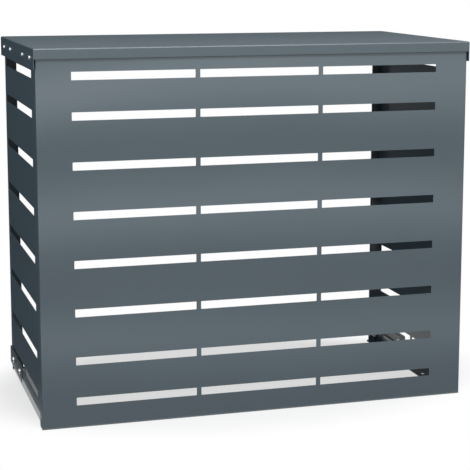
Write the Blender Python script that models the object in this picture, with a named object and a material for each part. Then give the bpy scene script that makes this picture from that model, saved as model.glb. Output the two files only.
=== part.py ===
"""A slotted sheet-metal screen that stands round an air conditioner's outdoor unit.

It is an open-backed, open-bottomed cover of folded and powder-coated sheet: a front panel
and two side panels with rows of long slots, a lid with turned-down edges, a bracket round
each side's rear foot and an angle rail inside it, all held by button-head screws.

Units are metres. X runs left to right as seen from the front, Y runs from the front to the
back, and Z is up. The origin is on the ground under the middle of the lid.
"""

import math

import bmesh
import bpy
from mathutils import Vector

# Overall sizes: the front panel's width, the lid's top, and front face to side panels' rear
cover_width = 1.0
cover_height = 0.840
cover_depth = 0.512

# Folded sheet
sheet = 0.0015
bend_radius = 0.003
bend_steps = 5
fit_gap = 0.0003
overrun = 0.01
weld_share = 0.01

# Slots, in rows that all the panels share
row_count = 8
slot_height = 0.018
slot_corner_radius = 0.001
slot_corner_steps = 2
bottom_row_rise = 0.0595
bottom_row_step = 0.0915
top_row_drop = 0.060
top_row_step = 0.087

# Front panel
front_return_depth = 0.035
front_lip_width = 0.022
front_slot_columns = 3
front_slot_margin = 0.077
front_slot_bridge = 0.0105

# Side panels
side_inset = 0.002
side_flange_width = 0.028
side_top_flange_width = 0.020
side_notch_height = 0.026
side_leg_width = 0.012
side_slot_columns = 1
side_low_slot_columns = 2
side_slot_front_margin = 0.039
side_slot_rear_margin = 0.018
side_slot_bridge = 0.011

# Lid
lid_side_overhang = 0.004
lid_front_overhang = 0.0045
lid_rear_overhang = 0.022
lid_front_drop = 0.023
lid_rear_drop = 0.020
lid_side_drop = 0.0455

# Rear brackets
bracket_rise = 0.016
bracket_height = 0.041
bracket_stand_off = 0.016
bracket_web_width = 0.028
bracket_ear_length = 0.200

# Foot rails
rail_width = 0.030
rail_thickness = 0.002
rail_lap = 0.002
rail_lug_width = 0.016
rail_hole_radius = 0.0055
rail_hole_inset = 0.012
rail_hole_spacing = 0.200

# Screws, as button heads with a hexagon socket: the brackets' are larger than the rest
screw_radius = 0.003
screw_head_overhang = 0.00225
screw_head_height = 0.0033
screw_head_rim = 0.0008
socket_radius = 0.0023
socket_depth = 0.0018
bracket_screw_radius = 0.004
bracket_head_overhang = 0.003
bracket_head_height = 0.0046
bracket_head_rim = 0.0012
bracket_socket_radius = 0.0029
bracket_socket_depth = 0.0026
screw_steps = 12
screw_spare = 0.001
screw_hole_slack = 0.0004
crown_steps = 3
crown_fullness_share = 0.5

# Nuts and bushes
nut_wall = 0.0022
nut_height = 0.004
bush_collar_wall = 0.0032
bush_neck_wall = 0.0009

# Places of the screws
flange_screw_inset = 0.014
pair_front_inset = 0.0117
pair_rear_inset = 0.047
pair_spacing = 0.108
lip_screw_height_shares = (0.15, 0.5, 0.85)
hexagon_sides = 6
sharp_angle = 35

# Places that follow from the sizes above
half_width = cover_width / 2
lid_underside = cover_height - sheet
panel_top = lid_underside - fit_gap
inner_radius = bend_radius - sheet
side_face = half_width - side_inset
side_front = front_return_depth + fit_gap
side_length = cover_depth - side_front
lid_depth = lid_front_overhang + cover_depth + lid_rear_overhang
lid_half_width = half_width + lid_side_overhang
bracket_rear = cover_depth + bracket_stand_off
bracket_face = side_face + fit_gap + sheet
bracket_top = bracket_rise + bracket_height
lid_screw_height = cover_height - lid_side_drop / 2
bracket_screw_height = bracket_rise + bracket_height / 2
screw_hole_radius = screw_radius + screw_hole_slack
bracket_hole_radius = bracket_screw_radius + screw_hole_slack
nut_bore = screw_radius + fit_gap
bracket_nut_bore = bracket_screw_radius + fit_gap
bracket_nut_bottom = bracket_screw_height - bracket_nut_bore - nut_wall
rail_height = min(side_notch_height + rail_lap, bracket_nut_bottom - fit_gap)
rail_screw_height = (rail_thickness + rail_height) / 2
flange_screw_across = half_width - flange_screw_inset
lid_gap = lid_half_width - sheet - side_face

# Shank radius, head radius, head height, head rim, socket radius and socket depth
small_screw = (
    screw_radius, screw_radius + screw_head_overhang, screw_head_height, screw_head_rim,
    socket_radius, socket_depth,
)
large_screw = (
    bracket_screw_radius, bracket_screw_radius + bracket_head_overhang, bracket_head_height,
    bracket_head_rim, bracket_socket_radius, bracket_socket_depth,
)


def clear_scene():
    """Remove whatever the file holds, so that the cover starts from nothing."""
    for obj in list(bpy.data.objects):
        bpy.data.objects.remove(obj, do_unlink=True)


def make_material(name, color, roughness, metallic):
    """A plain Principled material."""
    material = bpy.data.materials.new(name)
    material.use_nodes = True
    shader = material.node_tree.nodes["Principled BSDF"]
    shader.inputs["Base Color"].default_value = (*color, 1.0)
    shader.inputs["Roughness"].default_value = roughness
    shader.inputs["Metallic"].default_value = metallic
    material.diffuse_color = (*color, 1.0)
    return material


# Outlines
def arc(center, radius, start, sweep, steps):
    """Points on an arc about a centre, both ends included; angles are in degrees."""
    angles = [math.radians(start + sweep * i / steps) for i in range(steps + 1)]
    return [(center[0] + radius * math.cos(a), center[1] + radius * math.sin(a)) for a in angles]


def rectangle(low, high, radii=(0, 0, 0, 0), steps=bend_steps):
    """A rectangle, anticlockwise from its low corner, with a radius of its own at each corner."""
    (u0, v0), (u1, v1) = low, high
    corners = ((u0, v0, 1, 1, 180), (u1, v0, -1, 1, 270), (u1, v1, -1, -1, 0), (u0, v1, 1, -1, 90))
    points = []
    for (u, v, along, up, start), radius in zip(corners, radii):
        if radius > 0:
            points += arc((u + along * radius, v + up * radius), radius, start, 90, steps)
        else:
            points.append((u, v))
    return points


def polygon(center, radius, sides):
    """A regular polygon about a centre."""
    return arc(center, radius, 0, 360 * (sides - 1) / sides, sides - 1)


# Meshes
PLACES = {
    "X": lambda u, v, t: (t, u, v),
    "Y": lambda u, v, t: (u, t, v),
    "Z": lambda u, v, t: (u, v, t),
}


def object_from(name, shape):
    """Turn an edit mesh into an object with its faces pointing out."""
    bmesh.ops.recalc_face_normals(shape, faces=shape.faces)
    mesh = bpy.data.meshes.new(name)
    shape.to_mesh(mesh)
    shape.free()
    obj = bpy.data.objects.new(name, mesh)
    bpy.context.scene.collection.objects.link(obj)
    return obj


def draw_out(shape, outlines, axis, start, end):
    """Add closed prisms to an edit mesh: each outline is drawn out along an axis."""
    place = PLACES[axis]
    for outline in outlines:
        base = [shape.verts.new(place(u, v, start)) for u, v in outline]
        face = shape.faces.new(base)
        moved = bmesh.ops.extrude_face_region(shape, geom=[face])["geom"]
        travel = Vector(place(0, 0, end - start))
        bmesh.ops.translate(
            shape, verts=[v for v in moved if isinstance(v, bmesh.types.BMVert)], vec=travel
        )


def prisms(name, outlines, axis, start, end):
    """One object of closed prisms along one axis."""
    return cutter(name, (outlines, axis, start, end))


def cutter(name, *groups):
    """One object of closed prisms; a group is its outlines, their axis, its start and its end."""
    shape = bmesh.new()
    for group in groups:
        draw_out(shape, *group)
    return object_from(name, shape)


def turned(name, profile, closed):
    """A solid turned about Z from (radius, height) points; a closed profile makes a ring."""
    shape = bmesh.new()
    points = [shape.verts.new((radius, 0, height)) for radius, height in profile]
    pairs = list(zip(points, points[1:] + points[:1]))
    edges = [shape.edges.new(pair) for pair in (pairs if closed else pairs[:-1])]
    bmesh.ops.spin(
        shape, geom=points + edges, cent=(0, 0, 0), axis=(0, 0, 1),
        angle=2 * math.pi, steps=screw_steps, use_merge=True,
    )
    bmesh.ops.remove_doubles(shape, verts=shape.verts, dist=fit_gap * weld_share)
    return object_from(name, shape)


def carve(target, helper, operation="DIFFERENCE"):
    """Apply a helper solid to the target by an exact Boolean and put the helper out of sight."""
    helper.hide_render = True
    helper.display_type = "WIRE"
    step = target.modifiers.new(helper.name, "BOOLEAN")
    step.operation = operation
    step.solver = "EXACT"
    step.object = helper


def settle(obj, name):
    """The object's shape with its modifiers applied, as a mesh that several objects can share."""
    graph = bpy.context.evaluated_depsgraph_get()
    graph.update()
    mesh = bpy.data.meshes.new_from_object(obj.evaluated_get(graph))
    mesh.name = name
    helpers = [step.object for step in obj.modifiers if step.type == "BOOLEAN"]
    for used in helpers + [obj]:
        bpy.data.objects.remove(used, do_unlink=True)
    return mesh


def hang(obj, root):
    """Hang an object on the root, with its helpers and theirs."""
    obj.parent = root
    for step in obj.modifiers:
        hang(step.object, root)


def shade(mesh, material):
    """Paint a mesh and shade its bends smooth."""
    mesh.materials.clear()
    mesh.materials.append(material)
    mesh.shade_smooth()
    mesh.set_sharp_from_angle(angle=math.radians(sharp_angle))
    return mesh


def finish(obj, root, material):
    """Hang a sub-part on the root and paint it."""
    hang(obj, root)
    shade(obj.data, material)
    return obj


# Slots
def row_heights():
    """Heights of the slot rows' middles: six even rows between a closer one below and above."""
    lowest = bottom_row_rise
    highest = cover_height - top_row_drop
    inner_low = lowest + bottom_row_step
    inner_high = highest - top_row_step
    gaps = row_count - 3
    inner = [inner_low + (inner_high - inner_low) * i / gaps for i in range(gaps + 1)]
    return [lowest, *inner, highest]


def slot_outlines(heights, start, end, columns, bridge):
    """Rounded slots at the rows' heights, between two places along the panel, with bridges."""
    length = (end - start - bridge * (columns - 1)) / columns
    outlines = []
    for height in heights:
        for column in range(columns):
            left = start + column * (length + bridge)
            low = (left, height - slot_height / 2)
            high = (left + length, height + slot_height / 2)
            outlines.append(rectangle(low, high, (slot_corner_radius,) * 4, slot_corner_steps))
    return outlines


def holes(centers, radius):
    """The outlines of round holes at the centres."""
    return [polygon(center, radius, screw_steps) for center in centers]


# Places of the fasteners
def pair_places():
    """How far behind the front face the lid's screws sit: a pair near each end of the side."""
    first, last = side_front + pair_front_inset, cover_depth - pair_rear_inset
    return [first, first + pair_spacing, last - pair_spacing, last]


def bracket_places():
    """The brackets' screws stand under the lid's rear pair."""
    return pair_places()[2:]


def lip_screw_heights():
    """Heights of the screws through the front panel's lips."""
    return [share * cover_height for share in lip_screw_height_shares]


# Front panel
def front_panel(root, paint):
    """The front: a shallow pan whose side returns turn in again to form a lip."""
    plan_low, plan_high = (-half_width, 0), (half_width, front_return_depth)
    panel = prisms(
        "front_panel", [rectangle(plan_low, plan_high, (bend_radius,) * 4)], "Z", 0, panel_top
    )
    side_radii = (bend_radius, 0, 0, bend_radius)
    outline = rectangle((0, 0), (front_return_depth + overrun, panel_top), side_radii)
    carve(
        panel,
        prisms("front_edges", [outline], "X", -half_width - overrun, half_width + overrun),
        "INTERSECT",
    )
    hollow_low = (-half_width + sheet, sheet)
    hollow_high = (half_width - sheet, front_return_depth - sheet)
    hollow = prisms(
        "front_hollow",
        [rectangle(hollow_low, hollow_high, (inner_radius,) * 4)],
        "Z",
        sheet,
        panel_top - sheet,
    )
    carve(panel, hollow)
    open_half = half_width - front_lip_width
    opening = prisms(
        "front_opening",
        [rectangle((-open_half, sheet), (open_half, panel_top - sheet))],
        "Y",
        front_return_depth / 2,
        front_return_depth + overrun,
    )
    carve(panel, opening)
    slot_end = half_width - front_slot_margin
    slots = slot_outlines(
        row_heights(), -slot_end, slot_end, front_slot_columns, front_slot_bridge
    )
    heights = [rail_screw_height, *lip_screw_heights()]
    centers = [(s * flange_screw_across, z) for s in (-1, 1) for z in heights]
    lip_holes = holes(centers, screw_hole_radius)
    punch = cutter(
        "front_punch",
        (slots, "Y", -overrun, sheet + overrun),
        (lip_holes, "Y", front_return_depth - sheet - overrun, front_return_depth + overrun),
    )
    carve(panel, punch)
    return finish(panel, root, paint)


# Side panels
def across(side, near, far):
    """Two places across the cover, the smaller first, on the side that side's sign names."""
    return sorted((side * near, side * far))


def corner_radii(side, radius):
    """Radii for a rectangle whose outer two corners are bent and whose inner two are not."""
    return (radius, 0, 0, radius) if side < 0 else (0, radius, radius, 0)


def far_radii(side, radius):
    """Radii for a rectangle where only the outer corner at the far end is bent."""
    return (0, 0, 0, radius) if side < 0 else (0, 0, radius, 0)


def side_panel(side, name, root, paint):
    """A side: a tall sheet with flanges turned in at the front, the rear and the top."""
    outer_low, outer_high = across(side, side_face, side_face - side_flange_width)
    plan = rectangle(
        (outer_low, side_front), (outer_high, cover_depth), corner_radii(side, bend_radius)
    )
    panel = prisms(name, [plan], "Z", 0, panel_top)
    elevation_low, elevation_high = across(side, side_face, side_face - side_flange_width - overrun)
    elevation = rectangle(
        (elevation_low, -overrun), (elevation_high, panel_top), far_radii(side, bend_radius)
    )
    carve(
        panel,
        prisms(name + "_top_edge", [elevation], "Y", 0, cover_depth + overrun),
        "INTERSECT",
    )
    hollow_low, hollow_high = across(
        side, side_face - sheet, side_face - side_flange_width - overrun
    )
    hollow = rectangle(
        (hollow_low, side_front + sheet),
        (hollow_high, cover_depth - sheet),
        corner_radii(side, inner_radius),
    )
    carve(panel, prisms(name + "_hollow", [hollow], "Z", -overrun, panel_top - sheet))
    edge_low, edge_high = across(
        side, side_face - side_top_flange_width, side_face - side_flange_width - overrun
    )
    top_edge = rectangle((edge_low, -overrun), (edge_high, cover_depth + overrun))
    carve(
        panel,
        prisms(name + "_top_cut", [top_edge], "Z", panel_top - bend_radius, panel_top + overrun),
    )
    notch = rectangle(
        (side_front + side_leg_width, -overrun),
        (cover_depth - side_leg_width, side_notch_height),
        (0, 0, bend_radius, bend_radius),
    )
    wall = across(side, side_face + overrun, side_face - sheet - overrun)
    carve(panel, prisms(name + "_notch", [notch], "X", *wall))
    low_row, *upper_rows = row_heights()
    reach = side_front + side_slot_front_margin, cover_depth - side_slot_rear_margin
    slots = slot_outlines(upper_rows, *reach, side_slot_columns, side_slot_bridge)
    slots += slot_outlines([low_row], *reach, side_low_slot_columns, side_slot_bridge)
    lid_holes = [(y, lid_screw_height) for y in pair_places()]
    bush_holes = holes(lid_holes, nut_bore + bush_neck_wall + fit_gap)
    bracket_holes = [(y, bracket_screw_height) for y in bracket_places()]
    ear_holes = holes(bracket_holes, bracket_hole_radius)
    lip_holes = [(side * flange_screw_across, z) for z in lip_screw_heights()]
    rail_holes = [(side * flange_screw_across, rail_screw_height)]
    front_holes = holes(lip_holes + rail_holes, screw_hole_radius)
    rear_holes = holes(rail_holes, screw_hole_radius)
    punch = cutter(
        name + "_punch",
        (slots + bush_holes + ear_holes, "X", *wall),
        (front_holes, "Y", side_front - overrun, side_front + sheet + overrun),
        (rear_holes, "Y", cover_depth - sheet - overrun, cover_depth + overrun),
    )
    carve(panel, punch)
    return finish(panel, root, paint)


# Lid
def lid(root, paint):
    """The lid: a flat top with closed corners and drops of three depths."""
    front, rear = -lid_front_overhang, lid_depth - lid_front_overhang
    bottom = cover_height - lid_side_drop

    def shell(name, inset, radius, low):
        """The rounded block whose faces sit inset inside the lid's."""
        elevation = rectangle(
            (-lid_half_width + inset, low),
            (lid_half_width - inset, cover_height - inset),
            (0, 0, radius, radius),
        )
        block = prisms(name, [elevation], "Y", front + inset, rear - inset)
        profile = rectangle(
            (front + inset, low - overrun),
            (rear - inset, cover_height - inset),
            (0, 0, radius, radius),
        )
        edges = prisms(
            name + "_edges", [profile], "X", -lid_half_width - overrun, lid_half_width + overrun
        )
        carve(block, edges, "INTERSECT")
        return block

    top = shell("lid", 0, bend_radius, bottom)
    carve(top, shell("lid_hollow", sheet, inner_radius, bottom - overrun))
    trim_half = lid_half_width - sheet - fit_gap
    front_trim = rectangle(
        (-trim_half, bottom - overrun), (trim_half, cover_height - lid_front_drop)
    )
    carve(top, prisms("lid_front_trim", [front_trim], "Y", front - overrun, cover_depth / 2))
    rear_trim = rectangle(
        (-trim_half, bottom - overrun), (trim_half, cover_height - lid_rear_drop)
    )
    carve(top, prisms("lid_rear_trim", [rear_trim], "Y", cover_depth / 2, rear + overrun))
    centers = [(y, lid_screw_height) for y in pair_places()]
    ends = (-lid_half_width - overrun, lid_half_width + overrun)
    carve(top, prisms("lid_holes", holes(centers, screw_hole_radius), "X", *ends))
    return finish(top, root, paint)


# Rear brackets
def rear_bracket(side, name, root, paint):
    """An angle round a side's rear edge: an ear along the side and a web behind it."""
    ear_start = bracket_rear - bracket_ear_length
    low, high = across(side, bracket_face, bracket_face - bracket_web_width)
    outer = rectangle((low, ear_start), (high, bracket_rear), far_radii(side, bend_radius))
    bracket = prisms(name, [outer], "Z", bracket_rise, bracket_top)
    hollow_low, hollow_high = across(
        side, bracket_face - sheet, bracket_face - bracket_web_width - overrun
    )
    hollow = rectangle(
        (hollow_low, ear_start - overrun),
        (hollow_high, bracket_rear - sheet),
        far_radii(side, inner_radius),
    )
    clear = bracket_rise - overrun, bracket_top + overrun
    carve(bracket, prisms(name + "_hollow", [hollow], "Z", *clear))
    centers = [(y, bracket_screw_height) for y in bracket_places()]
    ends = across(side, bracket_face + overrun, bracket_face - sheet - overrun)
    carve(bracket, prisms(name + "_holes", holes(centers, bracket_hole_radius), "X", *ends))
    return finish(bracket, root, paint)


# Foot rails
def foot_rail(side, name, root, paint):
    """An angle on the ground, upright behind the side's notch, with a lug at each end."""
    start = side_front + sheet + fit_gap
    end = cover_depth - sheet - fit_gap
    lug_radius = rail_thickness + inner_radius
    profile = rectangle((start, 0), (end, rail_height), (lug_radius, lug_radius, 0, 0))
    rail_outer = side_face - bend_radius - fit_gap
    rail_across = across(side, rail_outer, rail_outer - rail_width)
    rail = prisms(name, [profile], "X", *rail_across)
    hollow = rectangle(
        (start + rail_thickness, rail_thickness),
        (end - rail_thickness, rail_height + overrun),
        (inner_radius, inner_radius, 0, 0),
    )
    rail_inner = rail_outer - rail_width - overrun
    open_across = across(side, rail_outer - rail_thickness, rail_inner)
    carve(rail, prisms(name + "_hollow", [hollow], "X", *open_across))
    lug_edge = flange_screw_across - rail_lug_width / 2
    low, high = across(side, lug_edge, rail_inner)
    beside = rectangle((low, lug_radius + fit_gap), (high, rail_height + overrun))
    carve(rail, prisms(name + "_lug_cut", [beside], "Y", start - overrun, end + overrun))
    lug_middle = side * flange_screw_across
    lug_holes = holes([(lug_middle, rail_screw_height)], screw_hole_radius)
    hole_across = side * (rail_outer - rail_hole_inset)
    middle = (start + end) / 2
    ground_holes = [
        (hole_across, middle - rail_hole_spacing / 2),
        (hole_across, middle + rail_hole_spacing / 2),
    ]
    punch = cutter(
        name + "_punch",
        (lug_holes, "Y", start - overrun, start + rail_thickness + overrun),
        (lug_holes, "Y", end - rail_thickness - overrun, end + overrun),
        (holes(ground_holes, rail_hole_radius), "Z", -overrun, rail_thickness + overrun),
    )
    carve(rail, punch)
    return finish(rail, root, paint)


# Fasteners
def head_outline(head_radius, head_height, head_rim):
    """A button head's outline from its rim over its crown to the middle."""
    points = []
    for i in range(crown_steps + 1):
        angle = math.radians(90 * i / crown_steps)
        across_share = math.cos(angle) ** crown_fullness_share if i < crown_steps else 0
        height = head_rim + (head_height - head_rim) * math.sin(angle)
        points.append((head_radius * across_share, height))
    return points


def screw_mesh(name, size, grip):
    """A button-head screw along Z: its head stands above zero and its shank goes down."""
    shank_radius, head_radius, head_height, head_rim, hexagon_radius, hexagon_depth = size
    tip = -(grip + screw_spare)
    shank = [(0, tip), (shank_radius, tip), (shank_radius, 0), (head_radius, 0)]
    body = turned(name, shank + head_outline(head_radius, head_height, head_rim), closed=False)
    socket = polygon((0, 0), hexagon_radius, hexagon_sides)
    cutter = prisms(
        name + "_socket", [socket], "Z", head_height - hexagon_depth, head_height + overrun
    )
    carve(body, cutter)
    return settle(body, name)


def ring_mesh(name, profile):
    """A turned ring as a mesh to share."""
    return settle(turned(name, profile, closed=True), name)


def nut_mesh(name, bore):
    """A plain round nut that sits under a sheet, its bearing face at zero and its body below."""
    outer = bore + nut_wall
    return ring_mesh(name, [(bore, 0), (outer, 0), (outer, -nut_height), (bore, -nut_height)])


def bush_mesh(name):
    """A threaded bush riveted in a side panel; its collar spaces the lid's drop off the panel."""
    collar_top = lid_gap - fit_gap
    inner = -(sheet + fit_gap)
    profile = [
        (nut_bore, collar_top),
        (nut_bore + bush_collar_wall, collar_top),
        (nut_bore + bush_collar_wall, fit_gap),
        (nut_bore + bush_neck_wall, fit_gap),
        (nut_bore + bush_neck_wall, inner),
        (nut_bore + nut_wall, inner),
        (nut_bore + nut_wall, inner - nut_height),
        (nut_bore, inner - nut_height),
    ]
    return ring_mesh(name, profile)


def place_fastener(name, mesh, position, direction, root):
    """Put a fastener in its place with its own Z axis along a direction."""
    obj = bpy.data.objects.new(name, mesh)
    bpy.context.scene.collection.objects.link(obj)
    obj.parent = root
    obj.location = position
    obj.rotation_mode = "QUATERNION"
    obj.rotation_quaternion = Vector(direction).to_track_quat("Z", "Y")
    return obj


def lid_fasteners(side, word, root, screw, bush):
    """The lid's screws on one side, with the bushes that they go into."""
    for number, y in enumerate(pair_places(), start=1):
        face = side * (lid_half_width + fit_gap)
        place_fastener(
            f"lid_screw_{word}_{number}", screw, (face, y, lid_screw_height), (side, 0, 0), root
        )
        place_fastener(
            f"lid_bush_{word}_{number}", bush, (side * side_face, y, lid_screw_height),
            (side, 0, 0), root,
        )


def bracket_fasteners(side, word, root, screw, nut):
    """A bracket's screws, with nuts inside the side panel."""
    for number, y in enumerate(bracket_places(), start=1):
        outer = side * (bracket_face + fit_gap)
        inner = side * (side_face - sheet - fit_gap)
        place_fastener(
            f"bracket_screw_{word}_{number}", screw, (outer, y, bracket_screw_height),
            (side, 0, 0), root,
        )
        place_fastener(
            f"bracket_nut_{word}_{number}", nut, (inner, y, bracket_screw_height),
            (side, 0, 0), root,
        )


def lip_fasteners(side, word, root, screw, nut):
    """The screws that tie the front panel's lip to a side panel's front flange."""
    for number, z in enumerate(lip_screw_heights(), start=1):
        inside = side_front + sheet + fit_gap
        outside = front_return_depth - sheet - fit_gap
        place_fastener(
            f"lip_screw_{word}_{number}", screw, (side * flange_screw_across, inside, z),
            (0, 1, 0), root,
        )
        place_fastener(
            f"lip_nut_{word}_{number}", nut, (side * flange_screw_across, outside, z),
            (0, 1, 0), root,
        )


def rail_fasteners(side, word, root, front_screw, rear_screw, nut):
    """The screws through a foot rail's lugs: the front one also goes through the lip."""
    lug_depth = fit_gap + rail_thickness + fit_gap
    front_head = side_front + sheet + lug_depth
    rear_head = cover_depth - sheet - lug_depth
    ends = (
        ("front", front_screw, front_head, front_return_depth - sheet - fit_gap, (0, 1, 0)),
        ("rear", rear_screw, rear_head, cover_depth + fit_gap, (0, -1, 0)),
    )
    for end, screw, head_place, nut_place, direction in ends:
        for kind, mesh, y in (("screw", screw, head_place), ("nut", nut, nut_place)):
            place = (side * flange_screw_across, y, rail_screw_height)
            place_fastener(f"rail_{kind}_{word}_{end}", mesh, place, direction, root)


def main():
    """Build the cover about an empty on the ground under the front face."""
    clear_scene()
    root = bpy.data.objects.new("cover", None)
    bpy.context.scene.collection.objects.link(root)
    root.location = (0, lid_front_overhang - lid_depth / 2, 0)

    front_paint = make_material("front_powder_coat", (0.105, 0.126, 0.142), 0.45, 0.0)
    side_paint = make_material("side_powder_coat", (0.098, 0.118, 0.134), 0.45, 0.0)
    lid_paint = make_material("lid_powder_coat", (0.105, 0.126, 0.142), 0.42, 0.0)
    frame_paint = make_material("frame_powder_coat", (0.098, 0.118, 0.134), 0.45, 0.0)
    zinc = make_material("zinc_plate", (0.72, 0.73, 0.74), 0.3, 1.0)

    front_panel(root, front_paint)
    lid(root, lid_paint)

    sheet_grip = fit_gap + sheet + fit_gap + sheet + fit_gap + nut_height
    lid_grip = sheet_grip - fit_gap + lid_gap
    rail_rear_grip = sheet_grip - sheet + rail_thickness
    rail_front_grip = rail_rear_grip + fit_gap + sheet
    lid_screw = shade(screw_mesh("lid_screw", small_screw, lid_grip), zinc)
    bracket_screw = shade(screw_mesh("bracket_screw", large_screw, sheet_grip), zinc)
    lip_screw = shade(screw_mesh("lip_screw", small_screw, sheet_grip), zinc)
    rail_front_screw = shade(screw_mesh("rail_front_screw", small_screw, rail_front_grip), zinc)
    rail_rear_screw = shade(screw_mesh("rail_rear_screw", small_screw, rail_rear_grip), zinc)
    nut = shade(nut_mesh("nut", nut_bore), zinc)
    bracket_nut = shade(nut_mesh("bracket_nut", bracket_nut_bore), zinc)
    bush = shade(bush_mesh("bush"), zinc)

    for side, word in ((-1, "left"), (1, "right")):
        side_panel(side, f"side_panel_{word}", root, side_paint)
        foot_rail(side, f"foot_rail_{word}", root, frame_paint)
        rear_bracket(side, f"rear_bracket_{word}", root, frame_paint)
        lid_fasteners(side, word, root, lid_screw, bush)
        bracket_fasteners(side, word, root, bracket_screw, bracket_nut)
        lip_fasteners(side, word, root, lip_screw, nut)
        rail_fasteners(side, word, root, rail_front_screw, rail_rear_screw, nut)


main()
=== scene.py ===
"""A slotted sheet-metal screen for an air conditioner's outdoor unit, dressed for a render.

The panels and the lid are folded from flat blanks, as at the brake press: a blank is punched
with its slots, its edges are turned over a small radius, and the sheet gets its thickness and
the soft edge of a powder coat. One node tree sets the fasteners. Units are metres; X runs to
the right, Y from the front to the open back and Z up.
"""

from __future__ import annotations

import logging
import math
from collections.abc import Callable, Iterable, Sequence
from dataclasses import dataclass, field
from enum import Enum

import bmesh
import bpy
from bmesh.types import BMesh
from bpy.types import Material, Mesh, Node, NodeSocket, Object
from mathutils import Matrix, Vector


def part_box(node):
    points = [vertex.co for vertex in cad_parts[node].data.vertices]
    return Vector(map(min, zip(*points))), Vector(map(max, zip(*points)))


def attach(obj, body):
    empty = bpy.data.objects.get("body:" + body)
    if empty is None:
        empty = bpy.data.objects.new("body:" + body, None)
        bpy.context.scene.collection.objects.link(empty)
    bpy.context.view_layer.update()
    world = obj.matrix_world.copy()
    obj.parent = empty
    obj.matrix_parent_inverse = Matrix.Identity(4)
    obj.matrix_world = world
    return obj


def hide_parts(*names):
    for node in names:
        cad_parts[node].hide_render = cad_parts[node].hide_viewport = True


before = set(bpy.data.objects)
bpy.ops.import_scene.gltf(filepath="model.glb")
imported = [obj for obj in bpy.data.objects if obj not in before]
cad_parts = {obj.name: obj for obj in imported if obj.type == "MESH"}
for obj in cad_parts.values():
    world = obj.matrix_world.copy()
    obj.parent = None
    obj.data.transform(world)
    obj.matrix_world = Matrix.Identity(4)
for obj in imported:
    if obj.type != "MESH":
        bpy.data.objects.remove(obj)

LOG = logging.getLogger("screen")
BODY = "root"
MERGE = 1e-6
TURNED_SHADE_ANGLE = 40.0
TURNED_STEPS = 36

Pair = tuple[float, float]
Point = tuple[float, float, float]
Rect = tuple[float, float, float, float]
Lines = tuple[list[float], list[float]]
Feeds = dict[str | int, object]


class Side(Enum):
    """The two sides of the screen, by the sign of X."""

    LEFT = -1
    RIGHT = 1

    @property
    def word(self) -> str:
        """The side's name as the nodes write it."""
        return self.name.lower()


class Edge(Enum):
    """The four edges of a flat blank."""

    LEFT = "left"
    RIGHT = "right"
    BOTTOM = "bottom"
    TOP = "top"


# Meshes


def object_of(name: str, data: bpy.types.ID) -> Object:
    """Put a mesh, a lamp or a camera in the scene as an object at the origin.

    Args:
        name: The object's name.
        data: What it shows.

    Returns:
        The linked object.
    """
    obj = bpy.data.objects.new(name, data)
    bpy.context.scene.collection.objects.link(obj)
    return obj


def mesh_from(name: str, shape: BMesh) -> Mesh:
    """Write an edit mesh to a new mesh and free it.

    Args:
        name: The mesh's name.
        shape: The edit mesh.

    Returns:
        The new mesh.
    """
    mesh = bpy.data.meshes.new(name)
    shape.to_mesh(mesh)
    shape.free()
    return mesh


def discard(*objects: Object) -> None:
    """Remove objects together with their meshes."""
    for obj in objects:
        mesh = obj.data
        bpy.data.objects.remove(obj, do_unlink=True)
        bpy.data.meshes.remove(mesh)


def settled(obj: Object) -> Mesh:
    """Apply an object's modifiers to a plain mesh of its own and remove the object.

    Args:
        obj: The object with its modifiers.

    Returns:
        The mesh with the modifiers applied, under the old mesh's name.
    """
    graph = bpy.context.evaluated_depsgraph_get()
    graph.update()
    mesh = bpy.data.meshes.new_from_object(obj.evaluated_get(graph), depsgraph=graph)
    name = obj.data.name
    discard(obj)
    mesh.name = name
    return mesh


def smooth(mesh: Mesh, angle: float) -> None:
    """Shade a mesh smooth but for the edges sharper than an angle.

    Args:
        mesh: The mesh.
        angle: The angle in degrees.
    """
    mesh.shade_smooth()
    mesh.set_sharp_from_angle(angle=math.radians(angle))


# Node trees

# The Wave texture's bands repeat at this length where its scale is one.
WAVE_PERIOD = math.tau / 20
# A noise pattern's value seldom leaves this range.
NOISE_RANGE = (0.3, 0.7)


class Graph:
    """A node tree, with short ways to add to it."""

    tree: bpy.types.NodeTree

    def add(self, kind: str, feeds: Feeds | None = None, **settings: object) -> Node:
        """Add a node, set its properties and feed its inputs.

        Args:
            kind: The node's type.
            feeds: For each input a socket or a plain value.
            **settings: Properties to set on the node.

        Returns:
            The node.
        """
        node = self.tree.nodes.new(kind)
        for name, value in settings.items():
            setattr(node, name, value)
        self.feed(node, feeds or {})
        return node

    def feed(self, node: Node, feeds: Feeds) -> None:
        """Link sockets to a node's inputs and set plain values on them.

        Args:
            node: The node.
            feeds: For each input, by its name or number, a socket or a plain value.
        """
        for name, value in feeds.items():
            if isinstance(value, NodeSocket):
                self.tree.links.new(value, node.inputs[name])
            else:
                node.inputs[name].default_value = value

    def math(self, operation: str, *terms: object) -> NodeSocket:
        """The result of a Math node on sockets or numbers."""
        return self.add("ShaderNodeMath", dict(enumerate(terms)), operation=operation).outputs[0]


# Finishes


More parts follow.
